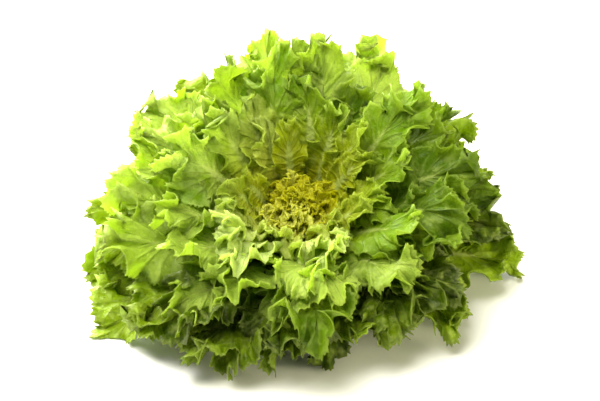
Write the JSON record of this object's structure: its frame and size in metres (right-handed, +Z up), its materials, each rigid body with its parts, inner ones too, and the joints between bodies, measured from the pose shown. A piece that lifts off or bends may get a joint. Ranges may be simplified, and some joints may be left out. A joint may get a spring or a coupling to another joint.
{
  "type": "curly endive head",
  "caption": "Leafy rosette head with waved and lobed leaves round a pale, tightly packed heart, resting on the flat face of its cut stem.",
  "frame": {"origin": "middle of the stem's level cut face, on the surface that the head rests on", "axes": "+Z up, and -Y towards the front, the side that the rosette's axis leans to"},
  "size_m": [0.3105, 0.3215, 0.1472],
  "materials": {
    "outer_leaf": "deep green leaf with a soft sheen",
    "middle_leaf": "bright green leaf with a soft sheen",
    "inner_leaf": "pale yellow-green leaf with a soft sheen",
    "heart": "yellow leaf with a soft sheen",
    "stem": "matt cream-white stem"
  },
  "bodies": {
    "root": {"stem": "stem", "outer_leaf_01": "outer_leaf", "outer_leaf_02": "outer_leaf", "outer_leaf_03": "outer_leaf", "outer_leaf_04": "outer_leaf", "outer_leaf_05": "outer_leaf", "outer_leaf_06": "outer_leaf", "outer_leaf_07": "outer_leaf", "outer_leaf_08": "outer_leaf", "outer_leaf_09": "outer_leaf", "outer_leaf_10": "outer_leaf", "outer_leaf_11": "outer_leaf", "outer_leaf_12": "outer_leaf", "outer_leaf_13": "outer_leaf", "outer_leaf_14": "outer_leaf", "outer_leaf_15": "outer_leaf", "outer_leaf_16": "outer_leaf", "outer_leaf_17": "outer_leaf", "outer_leaf_18": "outer_leaf", "outer_leaf_19": "outer_leaf", "outer_leaf_20": "outer_leaf", "middle_leaf_01": "middle_leaf", "middle_leaf_02": "middle_leaf", "middle_leaf_03": "middle_leaf", "middle_leaf_04": "middle_leaf", "middle_leaf_05": "middle_leaf", "middle_leaf_06": "middle_leaf", "middle_leaf_07": "middle_leaf", "middle_leaf_08": "middle_leaf", "middle_leaf_09": "middle_leaf", "middle_leaf_10": "middle_leaf", "middle_leaf_11": "middle_leaf", "middle_leaf_12": "middle_leaf", "middle_leaf_13": "middle_leaf", "middle_leaf_14": "middle_leaf", "middle_leaf_15": "middle_leaf", "middle_leaf_16": "middle_leaf", "middle_leaf_17": "middle_leaf", "middle_leaf_18": "middle_leaf", "inner_leaf_01": "inner_leaf", "inner_leaf_02": "inner_leaf", "inner_leaf_03": "inner_leaf", "inner_leaf_04": "inner_leaf", "inner_leaf_05": "inner_leaf", "inner_leaf_06": "inner_leaf", "inner_leaf_07": "inner_leaf", "inner_leaf_08": "inner_leaf", "inner_leaf_09": "inner_leaf", "inner_leaf_10": "inner_leaf", "inner_leaf_11": "inner_leaf", "inner_leaf_12": "inner_leaf", "inner_leaf_13": "inner_leaf", "inner_leaf_14": "inner_leaf", "inner_leaf_15": "inner_leaf", "inner_leaf_16": "inner_leaf", "heart": "heart"}
  },
  "joints": []
}
